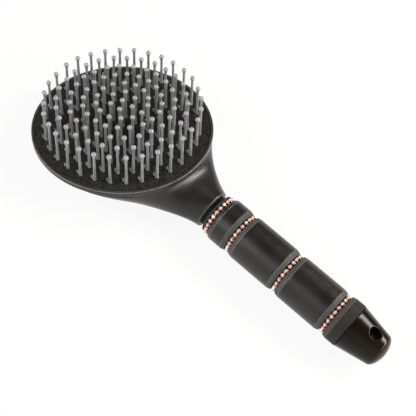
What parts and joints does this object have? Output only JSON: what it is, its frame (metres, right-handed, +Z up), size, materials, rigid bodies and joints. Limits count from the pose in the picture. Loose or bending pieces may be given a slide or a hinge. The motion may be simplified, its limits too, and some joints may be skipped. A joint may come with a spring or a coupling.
{
  "type": "ball-pin cushion brush",
  "caption": "Round cushion brush for mane and tail: ball-tipped pins in a sprung rubber pad on a tilted head, banded grip handle with crystal rings and a hanging hole.",
  "frame": {"origin": "middle of the overall box on the surface that the brush lies on, back down", "axes": "+X along the handle from the head to the end cap, +Z up, away from the surface, on the pin side"},
  "size_m": [0.2234, 0.095, 0.0457],
  "materials": {
    "body_plastic": "satin",
    "pad_rubber": "matte",
    "pin_nylon": "satin",
    "collar_plastic": "satin",
    "grip_rubber": "satin",
    "cap_plastic": "gloss",
    "rose_gold": "polished",
    "crystal": "faceted"
  },
  "bodies": {
    "brush": {"brush_body": "body_plastic", "cushion_pad": "pad_rubber", "neck_collar": "collar_plastic", "grip_front": "grip_rubber", "grip_middle": "grip_rubber", "grip_rear": "grip_rubber", "tail_collar": "collar_plastic", "end_cap": "cap_plastic", "crystal_setting_1": "rose_gold", "crystal_setting_2": "rose_gold", "crystal_setting_3": "rose_gold", "crystal_setting_4": "rose_gold", "crystals_1": "crystal", "crystals_2": "crystal", "crystals_3": "crystal", "crystals_4": "crystal"},
    "pin_field": {"pins_centre": "pin_nylon", "pins_ring_1": "pin_nylon", "pins_ring_2": "pin_nylon", "pins_ring_3": "pin_nylon", "pins_ring_4": "pin_nylon", "pins_ring_5": "pin_nylon", "pins_ring_6": "pin_nylon"}
  },
  "joints": [
    {"name": "cushion_press", "type": "slide", "parent": "brush", "child": "pin_field", "axis": [0.2079, 0, -0.9781], "range_m": [0, 0.0015], "stiffness_N_per_m": 3000, "deforming": ["cushion_pad"]}
  ]
}
